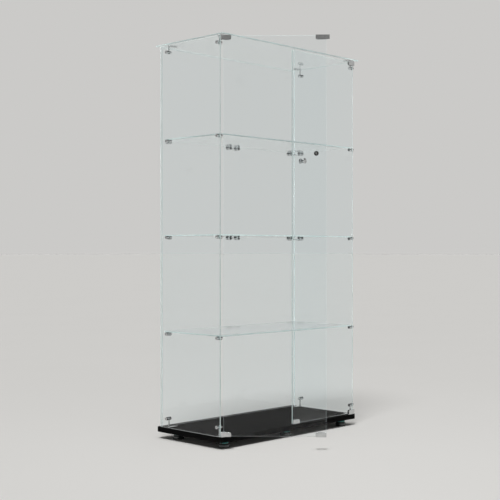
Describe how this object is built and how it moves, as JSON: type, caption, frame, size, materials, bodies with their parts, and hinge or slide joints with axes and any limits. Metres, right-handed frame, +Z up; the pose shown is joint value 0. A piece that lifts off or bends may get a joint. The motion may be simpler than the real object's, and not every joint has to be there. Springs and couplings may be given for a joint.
{
  "type": "glass display cabinet",
  "caption": "Frameless upright glass display cabinet: a pair of hinged glass doors, glass shelves on chrome supports, and a black base board on low feet.",
  "frame": {"origin": "on the floor, at the centre of the middle front foot's flat underside, which lies in the middle plane of the width", "axes": "+X along the width towards the right door's hinge, +Y towards the back, +Z up; the doors are on the -Y side"},
  "size_m": [0.8176, 0.6644, 1.571],
  "materials": {
    "clear_glass": "clear glass with polished edges and a slight green tint",
    "chrome": "polished chrome plate",
    "black_board": "black laminate, satin gloss",
    "black_foot": "dark moulded plastic, glossy",
    "lock_face": "glossy black ring of the lock"
  },
  "bodies": {
    "cabinet": {"back_panel_left": "clear_glass", "back_panel_right": "clear_glass", "base_board": "black_board", "base_bracket_back_left": "chrome", "base_bracket_back_right": "chrome", "base_bracket_front_left": "chrome", "base_bracket_front_right": "chrome", "foot_back_left": "black_foot", "foot_back_middle": "black_foot", "foot_back_right": "black_foot", "foot_front_left": "black_foot", "foot_front_middle": "black_foot", "foot_front_right": "black_foot", "left_hinge_plate_bottom": "chrome", "left_hinge_plate_top": "chrome", "lower_shelf_back_support_left": "chrome", "lower_shelf_back_support_right": "chrome", "lower_shelf_corner_support_left": "chrome", "lower_shelf_corner_support_right": "chrome", "lower_shelf_front_support_left": "chrome", "lower_shelf_front_support_right": "chrome", "middle_shelf_back_support_left": "chrome", "middle_shelf_back_support_right": "chrome", "middle_shelf_corner_support_left": "chrome", "middle_shelf_corner_support_right": "chrome", "middle_shelf_front_support_left": "chrome", "middle_shelf_front_support_right": "chrome", "right_hinge_plate_bottom": "chrome", "right_hinge_plate_top": "chrome", "shelf_lower": "clear_glass", "shelf_middle": "clear_glass", "shelf_upper": "clear_glass", "side_panel_left": "clear_glass", "side_panel_right": "clear_glass", "top_bracket_back_left": "chrome", "top_bracket_back_right": "chrome", "top_bracket_front_left": "chrome", "top_bracket_front_right": "chrome", "top_panel": "clear_glass", "upper_shelf_back_support_left": "chrome", "upper_shelf_back_support_right": "chrome", "upper_shelf_corner_support_left": "chrome", "upper_shelf_corner_support_right": "chrome", "upper_shelf_front_support_left": "chrome", "upper_shelf_front_support_right": "chrome"},
    "left_door": {"left_door_catch_bottom": "chrome", "left_door_catch_top": "chrome", "left_door_glass": "clear_glass", "left_door_hinge_bottom": "chrome", "left_door_hinge_top": "chrome", "lock_body": "lock_face"},
    "right_door": {"right_door_catch_bottom": "chrome", "right_door_glass": "clear_glass", "right_door_hinge_bottom": "chrome", "right_door_hinge_top": "chrome", "knob_outer": "chrome", "knob_inner": "chrome"},
    "lock": {"lock_plug": "chrome"}
  },
  "joints": [
    {"name": "left_door_swing", "type": "hinge", "parent": "cabinet", "child": "left_door", "pos_m": [-0.394, -0.0345, 0.8], "axis": [0, 0, 1], "range_deg": [-53, 47]},
    {"name": "right_door_swing", "type": "hinge", "parent": "cabinet", "child": "right_door", "pos_m": [0.394, -0.0345, 0.8], "axis": [0, 0, 1], "range_deg": [0, 100]},
    {"name": "lock_turn", "type": "hinge", "parent": "left_door", "child": "lock", "pos_m": [-0.15189, -0.29413, 1.117], "axis": [-0.7314, -0.682, 0], "range_deg": [0, 90]}
  ]
}
